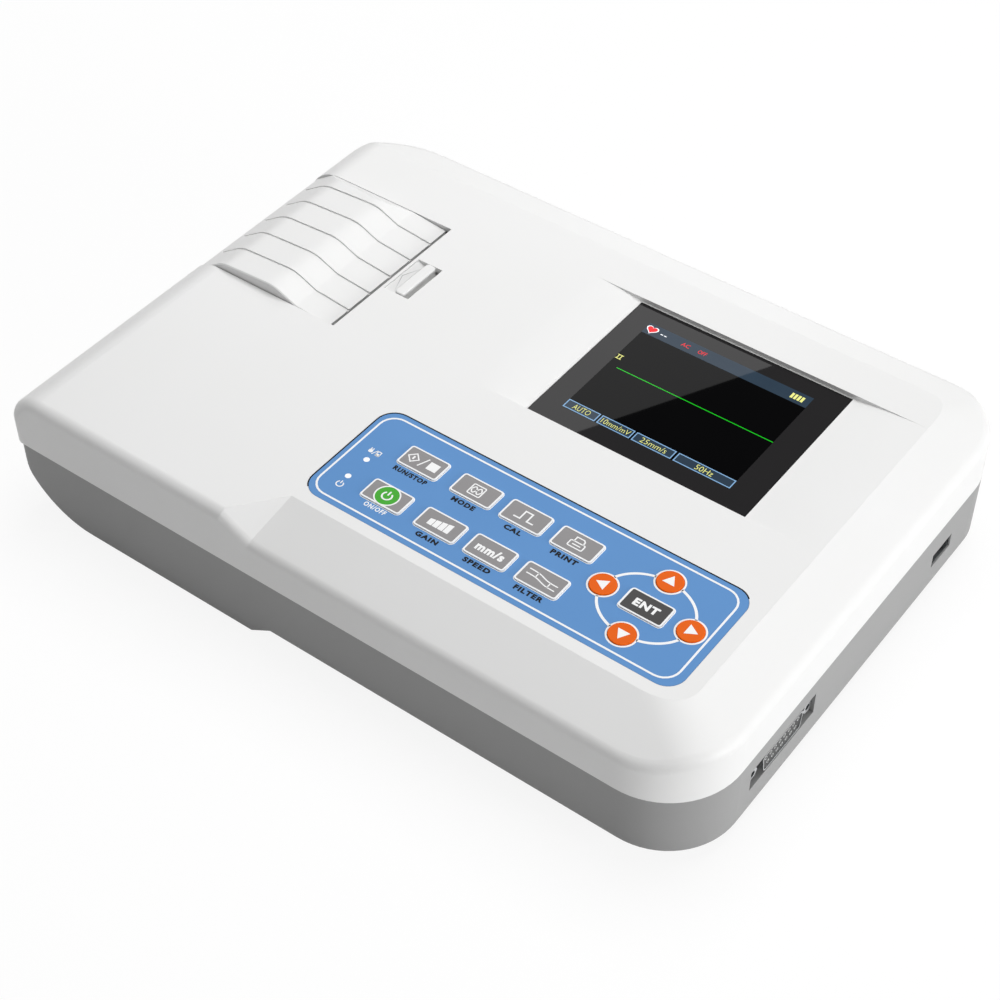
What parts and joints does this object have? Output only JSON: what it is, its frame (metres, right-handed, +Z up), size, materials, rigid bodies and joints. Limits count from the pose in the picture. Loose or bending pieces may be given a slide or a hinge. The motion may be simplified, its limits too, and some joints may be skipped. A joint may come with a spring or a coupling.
{
  "type": "portable ecg machine",
  "caption": "Portable desktop ECG recorder: white cover on a grey case, keypad with travelling keys, small display, hinged ribbed paper door over a thermal recorder, lead and data sockets.",
  "frame": {"origin": "on the table under the middle of the machine's box", "axes": "+X to the right along the front with the keypad, +Y to the back, +Z up"},
  "size_m": [0.286, 0.204, 0.0592],
  "materials": {
    "white_abs": "fine satin moulding",
    "grey_abs": "fine satin moulding",
    "key_grey": "printed membrane",
    "key_dark": "printed membrane",
    "key_orange": "printed membrane",
    "overlay_blue": "printed polyester film",
    "lamp_clear": "clear",
    "window_glass": "polished",
    "panel_glass": "display panel",
    "steel": "plain",
    "brass": "plated",
    "rubber": "matte",
    "paper": "thermal paper",
    "cardboard": "plain",
    "black_plastic": "moulded",
    "gear_nylon": "moulded",
    "board_green": "solder mask",
    "aluminium": "extruded",
    "ceramic": "glazed",
    "battery_wrap": "shrink wrap"
  },
  "bodies": {
    "base": {"battery_lid": "grey_abs", "battery_pack": "battery_wrap", "bottom_case": "grey_abs", "buzzer": "black_plastic", "case_screws": "steel", "display_glass": "window_glass", "display_panel": "panel_glass", "display_tray": "steel", "door_hinge_pin": "steel", "feed_motor": "steel", "head_heat_sink": "aluminium", "head_spring": "steel", "idler_pin": "steel", "indicator_lamps": "lamp_clear", "inlet_pins": "brass", "key_domes": "steel", "keypad_board": "board_green", "keypad_overlay": "overlay_blue", "lead_contacts": "brass", "lead_insulator": "black_plastic", "lead_jackscrews": "steel", "lead_shell": "steel", "left_pads": "rubber", "main_board": "board_green", "mains_inlet": "black_plastic", "platen_bushes": "brass", "power_board": "board_green", "power_transformer": "black_plastic", "print_head": "ceramic", "recorder_frame": "black_plastic", "right_feet": "rubber", "shield_can": "steel", "top_cover": "white_abs", "usb_shell": "steel", "usb_tongue": "black_plastic"},
    "door": {"paper_door": "white_abs"},
    "latch": {"door_latch": "white_abs"},
    "roll": {"paper_roll": "paper", "roll_core": "cardboard", "roll_spindle": "black_plastic"},
    "platen": {"platen_shaft": "steel", "platen_rubber": "rubber", "platen_gear": "gear_nylon"},
    "idler": {"idler_gear": "gear_nylon"},
    "rotor": {"motor_shaft": "steel", "motor_pinion": "gear_nylon"},
    "key_calibrate": {"key_calibrate": "key_grey"},
    "key_down": {"key_down": "key_orange"},
    "key_enter": {"key_enter": "key_dark"},
    "key_filter": {"key_filter": "key_grey"},
    "key_gain": {"key_gain": "key_grey"},
    "key_left": {"key_left": "key_orange"},
    "key_mode": {"key_mode": "key_grey"},
    "key_power": {"key_power": "key_grey"},
    "key_print": {"key_print": "key_grey"},
    "key_right": {"key_right": "key_orange"},
    "key_speed": {"key_speed": "key_grey"},
    "key_start_stop": {"key_start_stop": "key_grey"},
    "key_up": {"key_up": "key_orange"}
  },
  "joints": [
    {"name": "roll_spin", "type": "hinge", "parent": "base", "child": "roll", "pos_m": [-0.1125, 0.028, 0.03], "axis": [0, 1, 0], "continuous": true},
    {"name": "platen_spin", "type": "hinge", "parent": "base", "child": "platen", "pos_m": [-0.0815, 0.028, 0.042], "axis": [0, 1, 0], "continuous": true},
    {"name": "idler_spin", "type": "hinge", "parent": "base", "child": "idler", "pos_m": [-0.0895, 0.063, 0.02543], "axis": [0, 1, 0], "continuous": true},
    {"name": "motor_spin", "type": "hinge", "parent": "base", "child": "rotor", "pos_m": [-0.1055, 0.063, 0.0203], "axis": [0, 1, 0], "continuous": true},
    {"name": "door_hinge", "type": "hinge", "parent": "base", "child": "door", "pos_m": [-0.1376, 0.028, 0.0476], "axis": [0, -1, 0], "range_deg": [0, 100]},
    {"name": "latch_slide", "type": "slide", "parent": "base", "child": "latch", "axis": [1, 0, 0], "range_m": [0, 0.002], "stiffness_N_per_m": 800},
    {"name": "key_calibrate_press", "type": "slide", "parent": "base", "child": "key_calibrate", "axis": [0, 0, -1], "range_m": [0, 0.0004], "stiffness_N_per_m": 2500},
    {"name": "key_down_press", "type": "slide", "parent": "base", "child": "key_down", "axis": [0, 0, -1], "range_m": [0, 0.0004], "stiffness_N_per_m": 2500},
    {"name": "key_enter_press", "type": "slide", "parent": "base", "child": "key_enter", "axis": [0, 0, -1], "range_m": [0, 0.0004], "stiffness_N_per_m": 2500},
    {"name": "key_filter_press", "type": "slide", "parent": "base", "child": "key_filter", "axis": [0, 0, -1], "range_m": [0, 0.0004], "stiffness_N_per_m": 2500},
    {"name": "key_gain_press", "type": "slide", "parent": "base", "child": "key_gain", "axis": [0, 0, -1], "range_m": [0, 0.0004], "stiffness_N_per_m": 2500},
    {"name": "key_left_press", "type": "slide", "parent": "base", "child": "key_left", "axis": [0, 0, -1], "range_m": [0, 0.0004], "stiffness_N_per_m": 2500},
    {"name": "key_mode_press", "type": "slide", "parent": "base", "child": "key_mode", "axis": [0, 0, -1], "range_m": [0, 0.0004], "stiffness_N_per_m": 2500},
    {"name": "key_power_press", "type": "slide", "parent": "base", "child": "key_power", "axis": [0, 0, -1], "range_m": [0, 0.0004], "stiffness_N_per_m": 2500},
    {"name": "key_print_press", "type": "slide", "parent": "base", "child": "key_print", "axis": [0, 0, -1], "range_m": [0, 0.0004], "stiffness_N_per_m": 2500},
    {"name": "key_right_press", "type": "slide", "parent": "base", "child": "key_right", "axis": [0, 0, -1], "range_m": [0, 0.0004], "stiffness_N_per_m": 2500},
    {"name": "key_speed_press", "type": "slide", "parent": "base", "child": "key_speed", "axis": [0, 0, -1], "range_m": [0, 0.0004], "stiffness_N_per_m": 2500},
    {"name": "key_start_stop_press", "type": "slide", "parent": "base", "child": "key_start_stop", "axis": [0, 0, -1], "range_m": [0, 0.0004], "stiffness_N_per_m": 2500},
    {"name": "key_up_press", "type": "slide", "parent": "base", "child": "key_up", "axis": [0, 0, -1], "range_m": [0, 0.0004], "stiffness_N_per_m": 2500}
  ],
  "couplings": [
    {"joint": "platen_spin", "follows": "roll_spin", "ratio": 4.8},
    {"joint": "motor_spin", "follows": "roll_spin", "ratio": 6.4},
    {"joint": "idler_spin", "follows": "roll_spin", "ratio": -2.56}
  ]
}
